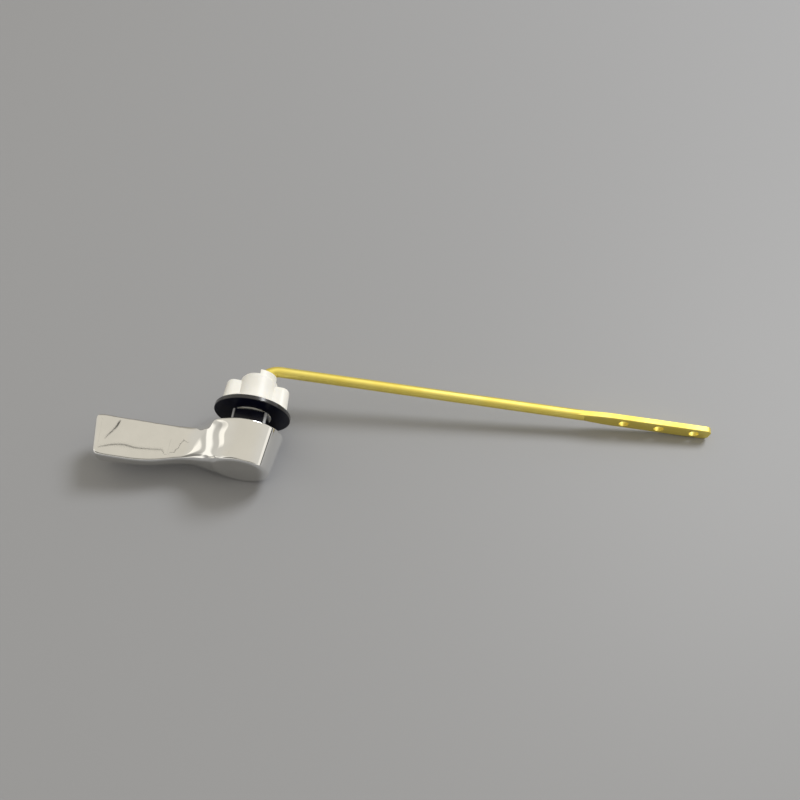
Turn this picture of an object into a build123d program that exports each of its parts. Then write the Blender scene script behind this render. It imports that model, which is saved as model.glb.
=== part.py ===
from build123d import *
import os
from math import cos, radians, sin, sqrt

# Cistern lever, front mounted, in millimetres.
# The origin lies on the pivot axis, where the bushing's flange meets the outside of the tank wall.
# +X runs along the arm, +Y goes into the tank and +Z is up. Depths are counted forward from the wall.

# Fits
running_clear = 0.06     # radial, sleeve in the bushing's bore
thread_clear = 0.05      # radial, nut on the bushing's thread
spigot_clear = 0.08      # radial, washer on the nut's spigot
press_clear = 0.02       # radial, arm and set screw in their holes
end_play = 0.30          # axial, lever between its two thrust faces
seat_gap = 0.05          # between flat faces that bear on each other
rim_gap = 0.20           # handle's rim to the tank wall
flange_clear = 0.60      # radial, bushing's flange and stop ring in the hollow hub
stop_gap = 0.15          # stop rib to the ends of its notch

# Lever travel
stroke = 40              # degrees, from rest on one stop to the other

# Handle hub
hub_back_d = 31.9
hub_front_d = 25.8
hub_depth = 18.7
hub_wall = 2.3
hub_face = 2.8
hub_front_round = 1.4
hub_back_round = 0.3
boss_d = 11.5
pillar_d = 8.0
stop_rib_w = 4.8
stop_rib_in = 8.9        # inner end of the rib, from the axis
stop_rib_back = 3.0      # depth where the rib ends, clear of the flange
stop_rib_front = 9.0

# Handle paddle
paddle_reach = 69.0      # axis to the back corner of the tip
paddle_back = 0.9        # depth of the back edge
paddle_front = 20.5      # depth of the front edge at the tip
paddle_top_back = 0.8
paddle_top_front = 0.3
paddle_bottom = -8.8
tip_slant = 10           # degrees
tip_round = 2.4
edge_round = 1.3
# Sections from the hub to the tip:
# x, back depth, front depth, top at the back, top at the front, bottom at the back, at the front, slant, round
sections = [
    (4.0, 1.0, 18.2, 14.6, 10.6, -12.0, -9.6, 0, 0.7),
    (0.0, 0.8, 18.5, 15.5, 12.4, -12.5, -10.4, 0, 0.7),
    (-5.0, 0.7, 18.5, 15.7, 12.0, -12.6, -10.4, 0, 0.7),
    (-9.5, 0.7, 18.3, 15.0, 8.9, -12.0, -9.8, 0, 0.8),
    (-13.8, 0.7, 17.8, 12.6, 4.5, -10.8, -9.2, 0, 1.0),
    (-17.0, 0.8, 17.2, 8.6, 2.0, -9.7, -8.8, 0, 1.2),
    (-20.5, 0.9, 16.7, 4.2, 0.6, -8.9, -8.6, 0, 1.3),
    (-25.0, 0.9, 16.5, 0.9, 0.0, -8.4, -8.4, 0, 1.3),
    (-31.0, 0.9, 17.4, -0.4, -0.4, -7.9, -7.9, 0, 1.3),
    (-40.0, 0.9, 19.4, -0.4, -0.4, -7.4, -7.4, 2, 1.3),
    (-50.0, 0.9, 20.4, 0.2, -0.1, -7.6, -7.6, 5, 1.3),
    (-60.0, 0.9, 20.6, 0.7, 0.2, -8.3, -8.3, 8, 1.3),
]

# Bushing
flange_thick = 2.4
nose_d = 15.2
nose_front = 5.6         # depth of the nose's thrust face
stop_ring_in_d = 17.2
stop_ring_front = 5.4
square = 15.5
square_long = 7.8
square_round = 1.2
square_end_round = 0.5
thread_d = 15.0
barrel_end = 25.5
barrel_chamfer = 0.7

# Washer
washer_d = 34.8
washer_thick = 2.0
washer_front = 8.5       # the thinnest wall it grips
washer_round = 0.35

# Wing nut
spigot_d = 17.4
spigot_out = 0.3         # stands this far in front of the washer
nut_flange_d = 30.8
nut_flange_thick = 1.5
nut_flange_round = 0.4
collar_d = 16.8
collar_round = 0.9
nut_end = 26.0
ear_span = 30.2
ear_thick = 8.6
ear_draft = 3            # degrees
ear_end = 24.3
ear_round = 2.2
nut_turn = 5             # degrees, where the ears happen to stand

# Arm and sleeve
rod_d = 5.0
rod_chamfer = 0.6
arm_y = 32.7
bend_r = 8.5
leg_front = 14.5         # depth where the leg ends
leg_room = 0.5
shoulder_x = 153.0
arm_reach = 212.8
blade_thick = 3.0
blade_tall = 7.6
blade_root = 4.4
blade_embed = 4.0        # the pressed end starts inside the rod
blade_flare = 10.0       # length over which the pressed end widens
flare_round = 60.0
blade_corner = 2.6
blade_edge = 0.45
hole_d = 4.6
hole_pitch = 16.75
last_hole = 7.6          # from the tip
hole_count = 3
sleeve_d = 9.0
head_d = 14.8
head_disc = 1.0
lug_end = 29.0
lug_flat = 0.7           # flat side of the half-round lug, from the axis

# Set screw
screw_d = 4.0
screw_long = 8.0
screw_depth = 10.2       # in front of the wall
socket_across = 2.0
socket_deep = 2.2


def along_y(radius, y_from, y_to):
    face = Plane(origin=(0, y_from, 0), x_dir=(1, 0, 0), z_dir=(0, 1, 0)) * Circle(radius)
    return extrude(face, amount=y_to - y_from)


def along_z(radius, y, z_from, z_to):
    return extrude(Pos(0, y, z_from) * Circle(radius), amount=z_to - z_from)


# Handle: revolved hub
taper = (hub_back_d - hub_front_d) / 2 / hub_depth
hub_front = rim_gap + hub_depth


def hub_radius(depth):
    return hub_back_d / 2 - taper * (depth - rim_gap)


hub_corners = [
    (0, -rim_gap),
    (hub_back_d / 2, -rim_gap),
    (hub_front_d / 2, -hub_front),
    (0, -hub_front),
]
hub_profile = make_face(Polyline(*hub_corners, close=True))
hub_profile = fillet(hub_profile.vertices().sort_by(Axis.X)[-1], hub_back_round)
front_corner = hub_profile.vertices().group_by(Axis.Y)[0].sort_by(Axis.X)[-1]
hub_profile = fillet(front_corner, hub_front_round)
hub = revolve(hub_profile, Axis.Y)


# Handle: paddle lofted through its sections, with the end rounded off by closing sections
def paddle_section(x, back, front, top_back, top_front, bottom_back, bottom_front, slant, rounding):
    s = radians(slant)
    plane = Plane(origin=(x, 0, 0), x_dir=(sin(s), -cos(s), 0), z_dir=(-cos(s), -sin(s), 0))
    corners = [(back, bottom_back), (front, bottom_front), (front, top_front), (back, top_back)]
    face = make_face(Polyline(*corners, close=True))
    return plane * fillet(face.vertices(), rounding)


outlines = [paddle_section(*row) for row in sections]
for away in (1.0, 0.58, 0.25, 0.06, 0.0):
    inset = tip_round * (1 - sqrt(1 - (1 - away) ** 2))
    row = (
        tip_round * away - paddle_reach,
        paddle_back + inset,
        paddle_front - inset,
        paddle_top_back - inset * 0.75,
        paddle_top_front - inset * 0.75,
        paddle_bottom + inset * 0.75,
        paddle_bottom + inset * 0.75,
        tip_slant,
        edge_round,
    )
    outlines.append(paddle_section(*row))
handle = hub + loft(outlines)

# Handle: the hollow back, with the boss for the arm, the set screw's pillar and the stop rib
recess_deep = hub_front - hub_face
recess_corners = [
    (0, 1),
    (hub_radius(-1) - hub_wall, 1),
    (hub_radius(recess_deep) - hub_wall, -recess_deep),
    (0, -recess_deep),
]
boss_back = nose_front + end_play
pillar_end = hub_radius(screw_depth) - hub_wall / 2
rib_out = hub_radius(stop_rib_front) - hub_wall / 2
rib_long = stop_rib_front - stop_rib_back
handle -= revolve(make_face(Polyline(*recess_corners, close=True)), Axis.Y)
handle += along_y(boss_d / 2, -recess_deep - hub_face / 2, -boss_back)
handle += along_z(pillar_d / 2, -screw_depth, -pillar_end, -rod_d / 2)
stop_rib = Box(stop_rib_w, rib_long, rib_out - stop_rib_in)
stop_rib_at = Pos(0, -stop_rib_back - rib_long / 2, -(rib_out + stop_rib_in) / 2)
handle += stop_rib_at * stop_rib
handle -= along_y(rod_d / 2 + press_clear, -leg_front - leg_room, 0)
handle -= along_z(screw_d / 2 + press_clear, -screw_depth, -hub_back_d, 0)

# Bushing: flange with a notched stop ring, nose, square shank, barrel and bore
flange_r = hub_radius(flange_thick) - hub_wall - flange_clear
stop_ring_r = hub_radius(stop_ring_front) - hub_wall - flange_clear
bushing = along_y(flange_r, -flange_thick, 0)
stop_ring = along_y(stop_ring_r, -stop_ring_front, -flange_thick)
stop_ring -= along_y(stop_ring_in_d / 2, -stop_ring_front, -flange_thick)
notch = Pos(0, -stop_ring_front / 2 - flange_thick / 2, -flange_r)
notch *= Box(stop_rib_w + 2 * stop_gap, stop_ring_front - flange_thick, flange_r)
for turned in range(0, stroke + 1, 8):
    stop_ring -= Rot(0, -turned, 0) * notch
bushing += stop_ring
bushing += along_y(nose_d / 2, -nose_front, -flange_thick)
shank = Pos(0, square_long / 2, 0) * Box(square, square_long, square)
shank = fillet(shank.edges().filter_by(Axis.Y), square_round)
shank = fillet(shank.faces().sort_by(Axis.Y)[-1].edges(), square_end_round)
bushing += shank
barrel = along_y(thread_d / 2, 0, barrel_end)
barrel = chamfer(barrel.faces().sort_by(Axis.Y)[-1].edges(), barrel_chamfer)
bushing += barrel
bushing -= along_y(sleeve_d / 2 + running_clear, -nose_front - 1, barrel_end + 1)

# Washer
washer_back = washer_front + washer_thick
washer = along_y(washer_d / 2, washer_front, washer_back)
washer = fillet(washer.edges().filter_by(GeomType.CIRCLE), washer_round)
washer -= along_y(spigot_d / 2 + spigot_clear, washer_front, washer_back)

# Wing nut: spigot, flange, two ears and rear collar
nut_seat = washer_back + seat_gap
nut_flange_back = nut_seat + nut_flange_thick
flange = along_y(nut_flange_d / 2, nut_seat, nut_flange_back)
flange = fillet(flange.edges().filter_by(GeomType.CIRCLE), nut_flange_round)
ear_face = Plane(origin=(0, nut_seat, 0), x_dir=(1, 0, 0), z_dir=(0, 1, 0)) * SlotOverall(ear_span, ear_thick)
ears = extrude(ear_face, amount=ear_end - nut_seat, taper=ear_draft)
ears = fillet(ears.faces().sort_by(Axis.Y)[-1].edges(), ear_round)
collar = along_y(collar_d / 2, nut_seat, nut_end)
collar = fillet(collar.faces().sort_by(Axis.Y)[-1].edges(), collar_round)
wing_nut = along_y(spigot_d / 2, washer_front - spigot_out, nut_flange_back)
wing_nut += flange
wing_nut += Rot(0, nut_turn, 0) * ears
wing_nut += collar
wing_nut -= along_y(thread_d / 2 + thread_clear, 0, nut_end + 1)

# Trip arm: rod bent square, with the far end pressed flat and drilled
bend_start = arm_y - bend_r
middle = bend_r * (1 - sqrt(0.5))
leg_line = Line((0, -leg_front, 0), (0, bend_start, 0))
bend_arc = ThreePointArc((0, bend_start, 0), (middle, arm_y - middle, 0), (bend_r, arm_y, 0))
arm_line = Line((bend_r, arm_y, 0), (shoulder_x, arm_y, 0))
rod_path = Wire([leg_line, bend_arc, arm_line])
leg_plane = Plane(origin=(0, -leg_front, 0), x_dir=(1, 0, 0), z_dir=(0, 1, 0))
rod = sweep(leg_plane * Circle(rod_d / 2), path=rod_path)
rod = chamfer(rod.faces().sort_by(Axis.X)[-1].edges(), rod_chamfer)
rod = chamfer(rod.faces().sort_by(Axis.Y)[0].edges(), rod_chamfer)
blade_start = shoulder_x - blade_embed
wide_x = shoulder_x + blade_flare
blade_corners = [
    (blade_start, blade_root / 2),
    (wide_x, blade_tall / 2),
    (arm_reach, blade_tall / 2),
    (arm_reach, -blade_tall / 2),
    (wide_x, -blade_tall / 2),
    (blade_start, -blade_root / 2),
]
blade_face = make_face(Polyline(*blade_corners, close=True))
blade_face = fillet(blade_face.vertices().group_by(Axis.X)[1], flare_round)
blade_face = fillet(blade_face.vertices().group_by(Axis.X)[-1], blade_corner)
blade = extrude(Plane.XZ.offset(blade_thick / 2 - arm_y) * blade_face, amount=-blade_thick)
blade = fillet(blade.edges().filter_by(Axis.Y, reverse=True), blade_edge)
trip_arm = rod + blade
for k in range(hole_count):
    hole_x = arm_reach - last_hole - k * hole_pitch
    trip_arm -= Pos(hole_x, 0, 0) * along_y(hole_d / 2, arm_y - rod_d, arm_y + rod_d)

# Arm sleeve: tube on the arm's leg, retaining disc and half-round lug behind it
head_front = barrel_end + end_play
arm_sleeve = along_y(sleeve_d / 2, seat_gap - boss_back, head_front + head_disc)
arm_sleeve += along_y(head_d / 2, head_front, head_front + head_disc)
lug = along_y(head_d / 2, head_front, lug_end)
lug &= Pos(lug_flat + head_d / 2, lug_end / 2, 0) * Box(head_d, 2 * lug_end, 2 * head_d)
arm_sleeve += lug
arm_sleeve -= sweep(leg_plane * Circle(rod_d / 2 + press_clear), path=rod_path)

# Set screw
screw_top = -rod_d / 2 - seat_gap
set_screw = along_z(screw_d / 2, -screw_depth, screw_top - screw_long, screw_top)
socket_face = Pos(0, -screw_depth, screw_top - screw_long)
socket_face *= RegularPolygon(socket_across / 2, 6, major_radius=False)
set_screw -= extrude(socket_face, amount=socket_deep)

os.makedirs("parts", exist_ok=True)
pieces = {
    "handle": handle,
    "set_screw": set_screw,
    "bushing": bushing,
    "washer": washer,
    "wing_nut": wing_nut,
    "arm_sleeve": arm_sleeve,
    "trip_arm": trip_arm,
}
for name, solid in pieces.items():
    export_step(solid, "parts/" + name + ".step")
    box = solid.bounding_box()
    print(name, len(solid.solids()), round(solid.volume), box.min, box.max)
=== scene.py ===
import math

import bmesh
import bpy
import numpy as np
from mathutils import Matrix, Vector
from mathutils.kdtree import KDTree


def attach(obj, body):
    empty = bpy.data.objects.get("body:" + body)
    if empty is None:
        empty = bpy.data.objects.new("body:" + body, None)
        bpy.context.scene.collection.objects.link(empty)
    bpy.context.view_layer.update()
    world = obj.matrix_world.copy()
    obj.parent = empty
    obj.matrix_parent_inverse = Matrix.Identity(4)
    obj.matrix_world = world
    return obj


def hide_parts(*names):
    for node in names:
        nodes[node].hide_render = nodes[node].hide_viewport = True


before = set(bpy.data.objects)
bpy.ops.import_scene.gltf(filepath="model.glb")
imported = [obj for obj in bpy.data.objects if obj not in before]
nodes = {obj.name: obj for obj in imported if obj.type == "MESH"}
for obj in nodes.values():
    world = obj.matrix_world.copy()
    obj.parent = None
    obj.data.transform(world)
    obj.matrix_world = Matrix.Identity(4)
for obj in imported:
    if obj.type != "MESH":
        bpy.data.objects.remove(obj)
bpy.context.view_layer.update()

# Bushing
# A black acetal moulding: flange, square shank and threaded barrel in one shot. It drops through
# the square hole in the tank, and the lever turns in its bore. The thread is left-handed, so that
# pressing the handle can't loosen the nut.

thread_sizes = {
    "Radius": 0.0075, "Pitch": 0.002, "Turns": 8.6, "Start": 0.0092,
    "Root Width": 0.0005, "Root Depth": 0.00062, "Mouth Width": 0.0017, "Mouth Depth": -0.0003,
}
thread_steps_per_turn = 72
sharp_edge = math.radians(35.0)
same_place = 2e-6
black_dark, black_light = (0.003, 0.003, 0.008), (0.007, 0.008, 0.018)
black_spots, black_grain, black_grain_depth = (220.0, 3.0), (2600.0, 2.0), 0.000002
black_rough, black_specular = (0.16, 0.26), 0.22
# The edges of the moulding are painted a little paler, partly as rubbed wear and partly as painted
# highlight.
black_edge_width, black_edge_wear_and_highlight_grey = 0.0005, (0.06, 0.06, 0.065)
# Painted highlight: the long corners of the square shank are painted pale grey for the glints on their
# rounded edges.
corner_highlight_radii, corner_highlight_grey = (0.0101, 0.0104), (0.50, 0.51, 0.54)
shank_begins = (0.0002, 0.0006)


def copy_of(node, name, weld=1e-6):
    shape = bmesh.new()
    shape.from_mesh(nodes[node].data)
    bmesh.ops.remove_doubles(shape, verts=shape.verts, dist=weld)
    mesh = bpy.data.meshes.new(name)
    shape.to_mesh(mesh)
    shape.free()
    piece = bpy.data.objects.new(name, mesh)
    bpy.context.scene.collection.objects.link(piece)
    return piece


def settle(piece):
    bpy.context.view_layer.update()
    depsgraph = bpy.context.evaluated_depsgraph_get()
    mesh = bpy.data.meshes.new_from_object(piece.evaluated_get(depsgraph))
    piece.modifiers.clear()
    piece.data = mesh


def new_finish(name):
    finish = bpy.data.materials.new(name)
    finish.use_nodes = True
    return finish, finish.node_tree, finish.node_tree.nodes["Principled BSDF"]


def put(tree, kind, **values):
    made = tree.nodes.new(kind)
    for key, value in values.items():
        made.inputs[key].default_value = value
    return made


def speckle(tree, scale, detail, stretch=(1.0, 1.0, 1.0)):
    place = put(tree, "ShaderNodeTexCoord")
    drawn = put(tree, "ShaderNodeMapping", Scale=stretch)
    spots = put(tree, "ShaderNodeTexNoise", Scale=scale, Detail=detail)
    tree.links.new(place.outputs["Object"], drawn.inputs["Vector"])
    tree.links.new(drawn.outputs["Vector"], spots.inputs["Vector"])
    return spots.outputs["Fac"]


def span(tree, value, low, high, start=0.3, end=0.7):
    limits = {"From Min": start, "From Max": end, "To Min": low, "To Max": high}
    made = put(tree, "ShaderNodeMapRange", **limits)
    tree.links.new(value, made.inputs["Value"])
    return made.outputs["Result"]


def share_of(tree, value, start, end):
    return span(tree, value, 0.0, 1.0, start, end)


def tinted(tree, share, below, above):
    made = put(tree, "ShaderNodeMix")
    made.data_type = "RGBA"
    tree.links.new(share, made.inputs["Factor"])
    for key, colour in (("A", below), ("B", above)):
        if isinstance(colour, tuple):
            made.inputs[key].default_value = (*colour, 1.0)
        else:
            tree.links.new(colour, made.inputs[key])
    return made.outputs["Result"]


def mottled(tree, spots, dark, light):
    return tinted(tree, span(tree, spots, 0.0, 1.0), dark, light)


def from_axis(tree):
    place = put(tree, "ShaderNodeTexCoord")
    across = put(tree, "ShaderNodeVectorMath")
    across.operation = "MULTIPLY"
    across.inputs[1].default_value = (1.0, 0.0, 1.0)
    tree.links.new(place.outputs["Object"], across.inputs[0])
    radius = put(tree, "ShaderNodeVectorMath")
    radius.operation = "LENGTH"
    tree.links.new(across.outputs["Vector"], radius.inputs[0])
    parts = put(tree, "ShaderNodeSeparateXYZ")
    tree.links.new(place.outputs["Object"], parts.inputs["Vector"])
    return radius.outputs["Value"], parts.outputs["Y"]


def grained(tree, shader, height, depth):
    made = put(tree, "ShaderNodeBump", Strength=1.0, Distance=depth)
    tree.links.new(height, made.inputs["Height"])
    tree.links.new(made.outputs["Normal"], shader.inputs["Normal"])


# Marks the edges of a piece: rubbed wear on the brass, wear and painted highlight on the bushing.
def edge_wear_and_highlight_share(tree, width, whole_face=0.995, full_edge=0.90):
    eased = put(tree, "ShaderNodeBevel", Radius=width)
    eased.samples = 6
    face = put(tree, "ShaderNodeNewGeometry")
    turn = put(tree, "ShaderNodeVectorMath")
    turn.operation = "DOT_PRODUCT"
    tree.links.new(eased.outputs["Normal"], turn.inputs[0])
    tree.links.new(face.outputs["Normal"], turn.inputs[1])
    return share_of(tree, turn.outputs["Value"], whole_face, full_edge)


def dress(piece, finish):
    piece.data.materials.clear()
    piece.data.materials.append(finish)
    for face in piece.data.polygons:
        face.material_index = 0


black_acetal, tree, shader = new_finish("black_acetal")
spots = speckle(tree, *black_spots)
moulded = mottled(tree, spots, black_dark, black_light)
# The paler edges are partly rubbed wear and partly a painted highlight.
edge_wear_and_highlight = tinted(tree, edge_wear_and_highlight_share(tree, black_edge_width), moulded, black_edge_wear_and_highlight_grey)
radius, behind_flange = from_axis(tree)
# The long corners of the square shank are painted pale grey, a painted highlight for the glints on
# them.
painted_corner_highlight = tinted(tree, share_of(tree, radius, *corner_highlight_radii), edge_wear_and_highlight, corner_highlight_grey)
on_shank = share_of(tree, behind_flange, *shank_begins)
tree.links.new(tinted(tree, on_shank, edge_wear_and_highlight, painted_corner_highlight), shader.inputs["Base Color"])
tree.links.new(span(tree, spots, *black_rough), shader.inputs["Roughness"])
shader.inputs["Specular IOR Level"].default_value = black_specular
grained(tree, shader, speckle(tree, *black_grain), black_grain_depth)

thread = bpy.data.node_groups.new("left_hand_thread", "GeometryNodeTree")
thread.interface.new_socket("Body", in_out="INPUT", socket_type="NodeSocketGeometry")
for name in thread_sizes:
    thread.interface.new_socket(name, in_out="INPUT", socket_type="NodeSocketFloat")
thread.interface.new_socket("Finish", in_out="INPUT", socket_type="NodeSocketMaterial")
thread.interface.new_socket("Body", in_out="OUTPUT", socket_type="NodeSocketGeometry")
given = thread.nodes.new("NodeGroupInput")
result = thread.nodes.new("NodeGroupOutput")


def times(value, by):
    product = thread.nodes.new("ShaderNodeMath")
    product.operation = "MULTIPLY"
    thread.links.new(given.outputs[value], product.inputs[0])
    if isinstance(by, str):
        thread.links.new(given.outputs[by], product.inputs[1])
    else:
        product.inputs[1].default_value = by
    return product.outputs[0]


helix = put(thread, "GeometryNodeCurveSpiral", Resolution=thread_steps_per_turn, Reverse=False)
thread.links.new(given.outputs["Turns"], helix.inputs["Rotations"])
thread.links.new(given.outputs["Radius"], helix.inputs["Start Radius"])
thread.links.new(given.outputs["Radius"], helix.inputs["End Radius"])
thread.links.new(times("Pitch", "Turns"), helix.inputs["Height"])
upright = thread.nodes.new("GeometryNodeSetCurveNormal")
upright.mode = "Z_UP"
thread.links.new(helix.outputs["Curve"], upright.inputs["Curve"])
groove = thread.nodes.new("GeometryNodeCurvePrimitiveQuadrilateral")
groove.mode = "POINTS"
for corner, depth, width, side in (
    ("Point 1", "Mouth Depth", "Mouth Width", -0.5),
    ("Point 2", "Root Depth", "Root Width", -0.5),
    ("Point 3", "Root Depth", "Root Width", 0.5),
    ("Point 4", "Mouth Depth", "Mouth Width", 0.5),
):
    place = thread.nodes.new("ShaderNodeCombineXYZ")
    thread.links.new(given.outputs[depth], place.inputs["X"])
    thread.links.new(times(width, side), place.inputs["Y"])
    thread.links.new(place.outputs["Vector"], groove.inputs[corner])
cutter = put(thread, "GeometryNodeCurveToMesh", **{"Fill Caps": True})
thread.links.new(upright.outputs["Curve"], cutter.inputs["Curve"])
thread.links.new(groove.outputs["Curve"], cutter.inputs["Profile Curve"])
lay_down = put(thread, "GeometryNodeTransform", Rotation=(-math.pi / 2, 0.0, 0.0))
begin = thread.nodes.new("ShaderNodeCombineXYZ")
thread.links.new(given.outputs["Start"], begin.inputs["Y"])
thread.links.new(begin.outputs["Vector"], lay_down.inputs["Translation"])
thread.links.new(cutter.outputs["Mesh"], lay_down.inputs["Geometry"])
cut = thread.nodes.new("GeometryNodeMeshBoolean")
cut.operation = "DIFFERENCE"
cut.solver = "EXACT"
thread.links.new(given.outputs["Body"], cut.inputs["Mesh 1"])
thread.links.new(lay_down.outputs["Geometry"], cut.inputs["Mesh 2"])
whole = thread.nodes.new("GeometryNodeRealizeInstances")
thread.links.new(cut.outputs["Mesh"], whole.inputs["Geometry"])
coat = thread.nodes.new("GeometryNodeSetMaterial")
thread.links.new(whole.outputs["Geometry"], coat.inputs["Geometry"])
thread.links.new(given.outputs["Finish"], coat.inputs["Material"])
thread.links.new(coat.outputs["Geometry"], result.inputs["Body"])

bushing = copy_of("bushing", "bushing_moulding")
screwed = bushing.modifiers.new("thread", "NODES")
screwed.node_group = thread
thread_values = {**thread_sizes, "Finish": black_acetal}
for socket in thread.interface.items_tree:
    if socket.in_out == "INPUT" and socket.name in thread_values:
        screwed[socket.identifier] = thread_values[socket.name]
settle(bushing)
bushing.data.shade_smooth()
bushing.data.set_sharp_from_angle(angle=sharp_edge)

# Corners that the thread leaves alone keep the normals of the solid.
cad = nodes["bushing"].data
cad_points = KDTree(len(cad.loops))
for loop in cad.loops:
    cad_points.insert(cad.vertices[loop.vertex_index].co, loop.index)
cad_points.balance()
true_normals = [Vector(corner.vector) for corner in bushing.data.corner_normals]
for face in bushing.data.polygons:
    for loop in face.loop_indices:
        at = bushing.data.vertices[bushing.data.loops[loop].vertex_index].co
        near_corners = cad_points.find_range(at, same_place)
        found = [cad.corner_normals[near].vector for _, near, _ in near_corners]
        if found:
            true_normals[loop] = max(found, key=face.normal.dot)
bushing.data.normals_split_custom_set(true_normals)
dress(bushing, black_acetal)
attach(bushing, "bushing")
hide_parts("bushing")

# Handle
# A zinc die casting, buffed and chrome plated. The neck runs into the hub in one swept curve, the
# top of the paddle is buffed flat and the hub turned to a true cone.

# A pair is where an effect starts and where it is full, along X or Y in metres. The two names that end
# in up hold the upward share of a normal.
hub_back_r, hub_slope, hub_wall, hub_floor, hub_hollow_left = 0.01595, 0.1631, 0.0012, -0.0164, -0.0155
mesh_step = 0.00034
neck_right, neck_left = (0.003, -0.004), (-0.030, -0.020)
neck_back, neck_front, neck_front_hold = (-0.0004, -0.003), (-0.0145, -0.0172), 0.85
neck_least_weight = 0.001
neck_rounds, buff_rounds, normal_rounds = 420, 10, 4
fill_height, fill_right, fill_left = 0.00115, (-0.0155, -0.019), (-0.027, -0.021)
trim_height, trim_right, trim_left = 0.00105, (-0.001, -0.006), (-0.0155, -0.011)
crest_back, crest_front, crest_up = (-0.0008, -0.005), (-0.0178, -0.0145), 0.2
paddle_end, paddle_root, paddle_up = (-0.0665, -0.0630), (-0.0300, -0.0370), (0.93, 0.97)
paddle_back, paddle_front = (-0.0006, -0.0028), (-0.0198, -0.0175)
cone_left, cone_back, cone_front = (-0.001, 0.004), (-0.0004, -0.0010), (-0.0188, -0.0178)
cone_reach = 0.0004
chrome_dark, chrome_light = (0.78, 0.78, 0.77), (0.83, 0.83, 0.82)
chrome_spots, chrome_ripple, chrome_ripple_depth = (90.0, 4.0), (45.0, 0.0), 0.000001
chrome_rough, chrome_rough_spots = (0.015, 0.035), (0.35, 0.75)


def ramp(value, start, end):
    share = np.clip((value - start) / (end - start), 0.0, 1.0)
    return share * share * (3 - 2 * share)


def points_of(piece):
    points = np.empty(len(piece.data.vertices) * 3)
    normals = np.empty(len(piece.data.vertices) * 3)
    piece.data.vertices.foreach_get("co", points)
    piece.data.vertices.foreach_get("normal", normals)
    return points.reshape(-1, 3), normals.reshape(-1, 3)


def move_points(piece, points):
    piece.data.vertices.foreach_set("co", points.ravel())
    piece.data.update()


casting = copy_of("handle", "handle_casting")
even = casting.modifiers.new("even_mesh", "REMESH")
even.mode = "VOXEL"
even.voxel_size = mesh_step
settle(casting)

points, normals = points_of(casting)
x, y, z = points.T.copy()
inside = np.hypot(x, z) < hub_back_r + hub_slope * y - hub_wall
inside &= (y > hub_floor) & (x > hub_hollow_left)
swept = ramp(x, *neck_right) * ramp(x, *neck_left) * ramp(y, *neck_back)
swept *= (1 - neck_front_hold * ramp(y, *neck_front)) * ~inside
neck = casting.vertex_groups.new(name="neck")
for at in np.flatnonzero(swept > neck_least_weight):
    neck.add([int(at)], float(swept[at]), "REPLACE")
fill = fill_height * ramp(x, *fill_right) * ramp(x, *fill_left)
trim = trim_height * ramp(x, *trim_right) * ramp(x, *trim_left)
on_top = (normals[:, 2] > crest_up) & ~inside
points[:, 2] += on_top * (fill - trim) * ramp(y, *crest_back) * ramp(y, *crest_front)
move_points(casting, points)
for name, group, rounds in (("swept_neck", "neck", neck_rounds), ("buffed", "", buff_rounds)):
    polish = casting.modifiers.new(name, "SMOOTH")
    polish.vertex_group = group
    polish.factor = 0.5
    polish.iterations = rounds
settle(casting)
casting.vertex_groups.clear()

points, normals = points_of(casting)
x, y, z = points.T.copy()
flat = ramp(normals[:, 2], *paddle_up) * ramp(x, *paddle_end) * ramp(x, *paddle_root)
flat *= ramp(y, *paddle_back) * ramp(y, *paddle_front)
plane = np.stack([x, y, np.ones_like(x)], axis=1)
mostly_flat = flat > 0.5
best = np.linalg.lstsq(plane[mostly_flat], z[mostly_flat], rcond=None)[0]
points[:, 2] += flat * (plane @ best - z)
out = np.maximum(np.hypot(x, z), 1e-6)
cone = hub_back_r + hub_slope * y
turned = (np.abs(out - cone) < cone_reach) * ramp(x, *cone_left)
turned *= ramp(y, *cone_back) * ramp(y, *cone_front)
points[:, 0::2] *= (1 + turned * (cone / out - 1))[:, None]
move_points(casting, points)
casting.data.shade_smooth()

points, normals = points_of(casting)
edges = np.empty(len(casting.data.edges) * 2, dtype=np.int32)
casting.data.edges.foreach_get("vertices", edges)
here, there = edges.reshape(-1, 2).T
for _ in range(normal_rounds):
    around = normals.copy()
    np.add.at(around, here, normals[there])
    np.add.at(around, there, normals[here])
    normals = around / np.linalg.norm(around, axis=1)[:, None]
level = np.array([-best[0], -best[1], 1.0])
normals += flat[:, None] * (level / np.linalg.norm(level) - normals)
away = np.stack([x / out, np.full_like(x, -hub_slope), z / out], axis=1) / math.hypot(1.0, hub_slope)
normals += turned[:, None] * (away - normals)
normals /= np.linalg.norm(normals, axis=1)[:, None]
casting.data.normals_split_custom_set_from_vertices(normals)

bright_chrome, tree, shader = new_finish("bright_chrome")
shader.inputs["Metallic"].default_value = 1.0
spots = speckle(tree, *chrome_spots)
tree.links.new(mottled(tree, spots, chrome_dark, chrome_light), shader.inputs["Base Color"])
tree.links.new(span(tree, spots, *chrome_rough, *chrome_rough_spots), shader.inputs["Roughness"])
grained(tree, shader, speckle(tree, *chrome_ripple), chrome_ripple_depth)
dress(casting, bright_chrome)
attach(casting, "lever")
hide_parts("handle")

# Set screw
# A dull steel grub screw with a hexagon socket, cut and hardened. It runs in from under the hub and
# pinches the arm.

steel_dark, steel_light = (0.24, 0.24, 0.25), (0.46, 0.46, 0.47)
steel_spots, steel_grain, steel_grain_depth = (600.0, 4.0), (3000.0, 2.0), 0.000003
steel_rough = (0.46, 0.32)

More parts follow.
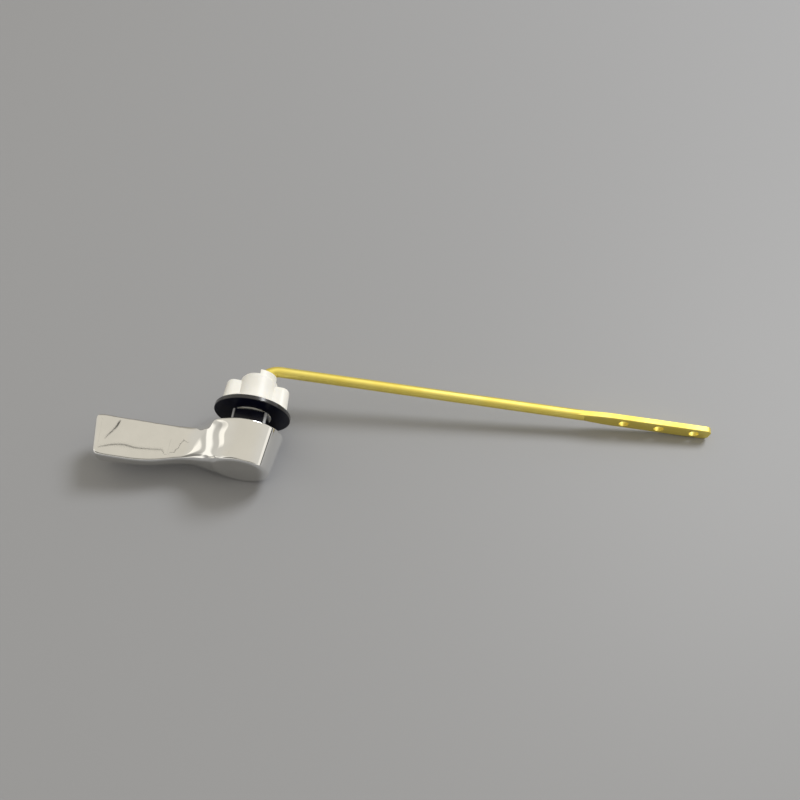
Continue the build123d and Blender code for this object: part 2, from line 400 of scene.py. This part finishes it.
dull_steel, tree, shader = new_finish("dull_steel")
shader.inputs["Metallic"].default_value = 1.0
spots = speckle(tree, *steel_spots)
tree.links.new(mottled(tree, spots, steel_dark, steel_light), shader.inputs["Base Color"])
tree.links.new(span(tree, spots, *steel_rough), shader.inputs["Roughness"])
grained(tree, shader, speckle(tree, *steel_grain), steel_grain_depth)
dress(nodes["set_screw"], dull_steel)

# Arm sleeve
# White moulded sleeve, run on to the arm's short leg. Its half-round head keeps the lever from
# pulling out of the bushing and backs up the bend.

white_dark, white_light = (0.85, 0.84, 0.80), (0.89, 0.885, 0.855)
white_spots, white_grain, white_grain_depth = (120.0, 3.0), (1800.0, 2.0), 0.000003
white_rough = (0.34, 0.46)
white_scatter, white_scatter_radius = 0.15, (0.002, 0.0018, 0.0014)

white_acetal, tree, shader = new_finish("white_acetal")
spots = speckle(tree, *white_spots)
tree.links.new(mottled(tree, spots, white_dark, white_light), shader.inputs["Base Color"])
shader.inputs["Subsurface Weight"].default_value = white_scatter
shader.inputs["Subsurface Radius"].default_value = white_scatter_radius
tree.links.new(span(tree, spots, *white_rough), shader.inputs["Roughness"])
grained(tree, shader, speckle(tree, *white_grain), white_grain_depth)
dress(nodes["arm_sleeve"], white_acetal)

# Trip arm
# Drawn brass rod, bent square and pressed flat at the far end, where three holes are punched for the
# flapper chain. The drawing leaves faint lines along it, and handling rubs its edges bright.

brass_dark, brass_light = (0.83, 0.69, 0.16), (0.91, 0.79, 0.23)
brass_edge_width, brass_edge = 0.0004, (0.97, 0.89, 0.32)
brass_spots, brass_rough = (70.0, 4.0), (0.64, 0.50)
brass_lines, brass_lines_stretch, brass_lines_depth = (1400.0, 2.0), (0.04, 1.0, 1.0), 0.000007

drawn_brass, tree, shader = new_finish("drawn_brass")
shader.inputs["Metallic"].default_value = 1.0
spots = speckle(tree, *brass_spots)
tarnished = mottled(tree, spots, brass_dark, brass_light)
rubbed = tinted(tree, edge_wear_and_highlight_share(tree, brass_edge_width), tarnished, brass_edge)
tree.links.new(rubbed, shader.inputs["Base Color"])
tree.links.new(span(tree, spots, *brass_rough), shader.inputs["Roughness"])
grained(tree, shader, speckle(tree, *brass_lines, stretch=brass_lines_stretch), brass_lines_depth)
dress(nodes["trip_arm"], drawn_brass)

# Washer
# A flat ring stamped from black sheet rubber. The nut's spigot centres it, and it seals and grips
# the inside of the tank wall. The rim is glossier than the faces, and is painted a little greyer,
# which is painted light from above.

rubber_dark, rubber_light = (0.001, 0.0015, 0.008), (0.003, 0.004, 0.018)
rubber_spots, rubber_grain, rubber_grain_depth = (160.0, 5.0), (2200.0, 3.0), 0.000004
rubber_rough, rubber_specular = (0.32, 0.44), 0.14
# The rim's grey is painted light, for the light that falls on the rim from above.
rim_radii, rim_painted_light_grey, rim_gloss_rough = (0.01705, 0.01735), (0.016, 0.016, 0.019), 0.16

washer_rubber, tree, shader = new_finish("washer_rubber")
spots = speckle(tree, *rubber_spots)
black = mottled(tree, spots, rubber_dark, rubber_light)
radius, _ = from_axis(tree)
rim_gloss_and_painted_light = share_of(tree, radius, *rim_radii)
# The rim is painted greyer: painted light from above. Its gloss is a real coat.
tree.links.new(tinted(tree, rim_gloss_and_painted_light, black, rim_painted_light_grey), shader.inputs["Base Color"])
tree.links.new(span(tree, spots, *rubber_rough), shader.inputs["Roughness"])
shader.inputs["Specular IOR Level"].default_value = rubber_specular
tree.links.new(rim_gloss_and_painted_light, shader.inputs["Coat Weight"])
shader.inputs["Coat Roughness"].default_value = rim_gloss_rough
grained(tree, shader, speckle(tree, *rubber_grain), rubber_grain_depth)
dress(nodes["washer"], washer_rubber)

# Wing nut
# One moulding of the sleeve's white acetal: spigot, thin flange, two thick finger ears and a rear
# collar. It runs on the bushing's left-hand thread and is tightened by hand.

dress(nodes["wing_nut"], white_acetal)

# Floor
# A plain pale sheet, at the slope on which the part comes to lie when it is put down: on the hub's
# underside and the far end of the arm. It is clear from below.

floor_up = Vector((-0.08142, 0.16092, 0.9836)).normalized()
floor_at = Vector((0.00119, -0.00055, -0.01585))
floor_half = 12.0
floor_grey, floor_rough = (0.33, 0.335, 0.354, 1.0), 0.55

across = floor_up.orthogonal().normalized()
along = floor_up.cross(across)
sheet = bpy.data.meshes.new("floor")
corners = [
    floor_at + floor_half * (a * across + b * along) for a, b in ((-1, -1), (1, -1), (1, 1), (-1, 1))
]
sheet.from_pydata(corners, [], [(0, 1, 2, 3)])
floor = bpy.data.objects.new("floor", sheet)
bpy.context.scene.collection.objects.link(floor)
paper, tree, shader = new_finish("pale_floor")
shader.inputs["Base Color"].default_value = floor_grey
shader.inputs["Roughness"].default_value = floor_rough
under = put(tree, "ShaderNodeNewGeometry")
clear = put(tree, "ShaderNodeBsdfTransparent")
one_sided = put(tree, "ShaderNodeMixShader")
tree.links.new(under.outputs["Backfacing"], one_sided.inputs[0])
tree.links.new(shader.outputs["BSDF"], one_sided.inputs[1])
tree.links.new(clear.outputs["BSDF"], one_sided.inputs[2])
tree.links.new(one_sided.outputs["Shader"], tree.nodes["Material Output"].inputs["Surface"])
dress(floor, paper)

# Light
# A soft studio of pale warm cloth, with a window-like lamp behind at the right for the shadow. Lighter
# bands in the cloth, low down and at the left, draw the streaks on the neck and the hub, and three
# thin seams overhead draw the dark lines on the paddle.

window_at = Vector((0.70, 0.95, 1.15))
window_side, window_radiance, window_tint = 0.60, 13.2, (0.97, 0.985, 1.0)
cloth_height = 1.0
seam_half_width, seam_grey = 0.0010, (0.20, 0.19, 0.17, 1.0)
# Each point of a seam is its X, its Y and its share of the seam's width.
seam_paths = {
    "seam_over_end": (
        (-0.318, 0.3830, 0.6), (-0.319, 0.3794, 1.4), (-0.320, 0.3760, 1.8), (-0.321, 0.3702, 1.5),
        (-0.325, 0.3633, 1.0), (-0.328, 0.3573, 0.9), (-0.332, 0.3509, 0.7), (-0.335, 0.3446, 0.3),
    ),
    "seam_over_paddle": (
        (-0.345, 0.3260, 0.3), (-0.329, 0.3329, 0.7), (-0.321, 0.3361, 0.9), (-0.309, 0.3386, 1.0),
        (-0.296, 0.3398, 1.2), (-0.287, 0.3374, 1.0), (-0.276, 0.3376, 0.8), (-0.261, 0.3390, 0.7),
        (-0.245, 0.3410, 0.7), (-0.225, 0.3440, 0.5),
    ),
    "seam_over_neck": (
        (-0.354, 0.3310, 0.6), (-0.374, 0.3510, 0.8), (-0.400, 0.3760, 0.9), (-0.480, 0.3890, 1.0),
        (-0.542, 0.3977, 1.2), (-0.669, 0.4187, 1.2), (-1.075, 0.4864, 1.0), (-1.500, 0.5670, 1.3),
        (-2.600, 0.7540, 1.8),
    ),
}
# Each stop of a band is its place along the cloth and its brightness.
left_bands = [
    (0.0, 0.4), (0.165, 0.4), (0.20, 1.25), (0.265, 1.25), (0.315, 0.68), (0.46, 0.72), (1.0, 0.74),
]
left_front_bands = [
    (0.0, 0.4), (0.165, 0.4), (0.20, 1.25), (0.265, 1.25), (0.315, 0.66), (0.40, 0.66), (0.469, 1.2),
    (0.592, 1.25), (0.638, 0.76), (1.0, 0.74),
]
right_bands = [(0.0, 0.04), (0.10, 0.04), (0.12, 1.05), (0.24, 1.05), (0.32, 0.76), (1.0, 0.74)]
front_bands = [(0.0, 1.2), (0.22, 1.2), (0.34, 0.25), (0.68, 0.25), (0.80, 0.6), (1.0, 0.6)]
left_lean, left_lean_range = (0.0, 1.05, 1.0), (-0.3, 1.0)
left_front_begins, right_begins = (0.13, 0.03), (-0.5, 0.5)
front_begins, back_begins = (-0.15, -0.45), (0.55, 0.80)
back_share, front_diffuse_share = 0.5, 0.75
backdrop_grey = (0.70, 0.70, 0.70, 1.0)
cloth_green, cloth_green_fall, cloth_blue, cloth_blue_fall = 0.97, 0.03, 0.90, 0.09

window = bpy.data.lights.new("window", "AREA")
window.shape = "RECTANGLE"
window.size = window.size_y = window_side
window.energy = window_radiance * math.pi * window_side * window_side
window.color = window_tint
lamp = bpy.data.objects.new("window", window)
lamp.location = window_at
lamp.rotation_euler = (-window_at).to_track_quat("-Z", "Y").to_euler()
lamp.visible_camera = False
bpy.context.scene.collection.objects.link(lamp)

seam_cloth, tree, shader = new_finish("seam_cloth")
shader.inputs["Base Color"].default_value = seam_grey
shader.inputs["Roughness"].default_value = 1.0
for name, path in seam_paths.items():
    line = bpy.data.curves.new(name, "CURVE")
    line.dimensions = "3D"
    line.bevel_depth = seam_half_width
    spline = line.splines.new("NURBS")
    spline.points.add(len(path) - 1)
    for point, (seam_x, seam_y, width) in zip(spline.points, path):
        point.co = (seam_x, seam_y, cloth_height, 1.0)
        point.radius = width
    spline.order_u = 4
    spline.use_endpoint_u = True
    seam = bpy.data.objects.new(name, line)
    bpy.context.scene.collection.objects.link(seam)
    line.materials.append(seam_cloth)
    seam.visible_camera = False
    seam.visible_diffuse = False
    seam.visible_shadow = False

world = bpy.data.worlds.new("studio")
world.use_nodes = True
bpy.context.scene.world = world
tree = world.node_tree
glow = tree.nodes["Background"]
toward = put(tree, "ShaderNodeTexCoord")
parts = put(tree, "ShaderNodeSeparateXYZ")
tree.links.new(toward.outputs["Generated"], parts.inputs["Vector"])


def cloth(place, bands):
    made = put(tree, "ShaderNodeValToRGB")
    made.color_ramp.interpolation = "EASE"
    stops = made.color_ramp.elements
    while len(stops) < len(bands):
        stops.new(0.5)
    for stop, (at, level) in zip(stops, bands):
        green, blue = cloth_green - cloth_green_fall * at, cloth_blue - cloth_blue_fall * at
        stop.position = at
        stop.color = (level, level * green, level * blue, 1)
    tree.links.new(place, made.inputs["Fac"])
    return made.outputs["Color"]


def eased_share(value, start, end, low=0.0, high=1.0):
    made = span(tree, value, low, high, start, end)
    made.node.interpolation_type = "SMOOTHSTEP"
    return made


leaning = put(tree, "ShaderNodeVectorMath")
leaning.operation = "DOT_PRODUCT"
leaning.inputs[1].default_value = left_lean
tree.links.new(toward.outputs["Generated"], leaning.inputs[0])
lean = share_of(tree, leaning.outputs["Value"], *left_lean_range)
left_front = share_of(tree, parts.outputs["Y"], *left_front_begins)
left = tinted(tree, left_front, cloth(lean, left_bands), cloth(lean, left_front_bands))
rightward = share_of(tree, parts.outputs["X"], *right_begins)
sides = tinted(tree, rightward, left, cloth(parts.outputs["Z"], right_bands))
forward = eased_share(parts.outputs["Y"], *front_begins)
all_round = tinted(tree, forward, sides, cloth(parts.outputs["Z"], front_bands))
tree.links.new(all_round, glow.inputs["Color"])

backward = eased_share(parts.outputs["Y"], *back_begins, low=1.0, high=back_share)
ray = put(tree, "ShaderNodeLightPath")
shade = put(tree, "ShaderNodeMix", A=1.0, B=front_diffuse_share)
tree.links.new(forward, shade.inputs["Factor"])
spread = put(tree, "ShaderNodeMix", A=1.0)
tree.links.new(ray.outputs["Is Diffuse Ray"], spread.inputs["Factor"])
tree.links.new(shade.outputs["Result"], spread.inputs["B"])
strength = put(tree, "ShaderNodeMath")
strength.operation = "MULTIPLY"
tree.links.new(backward, strength.inputs[0])
tree.links.new(spread.outputs["Result"], strength.inputs[1])
tree.links.new(strength.outputs["Value"], glow.inputs["Strength"])
seen = put(tree, "ShaderNodeBackground", Color=backdrop_grey, Strength=1.0)
pick = put(tree, "ShaderNodeMixShader")
tree.links.new(ray.outputs["Is Camera Ray"], pick.inputs[0])
tree.links.new(glow.outputs["Background"], pick.inputs[1])
tree.links.new(seen.outputs["Background"], pick.inputs[2])
tree.links.new(pick.outputs["Shader"], tree.nodes["World Output"].inputs["Surface"])

# Camera
# Above the handle and a little in front of it, at the photograph's place, with its turn and its angle
# of view.

eye_at = (0.06165007, -0.14311421, 0.33288597)
eye_right = Vector((0.99001061, 0.12009642, 0.0738637))
eye_down = Vector((0.14054692, -0.88224958, -0.44931308))
eye_ahead = Vector((0.01120533, 0.45520603, -0.89031562))

eye = bpy.data.cameras.new("camera")
eye.sensor_width = 36.0
eye.lens = 36.0
eye.clip_start = 0.01
eye.clip_end = 20.0
camera = bpy.data.objects.new("camera", eye)
eye_turn = Matrix((eye_right, -eye_down, -eye_ahead)).transposed().to_4x4()
camera.matrix_world = Matrix.Translation(eye_at) @ eye_turn
bpy.context.scene.collection.objects.link(camera)
bpy.context.scene.camera = camera
bpy.context.scene.view_settings.view_transform = "Standard"
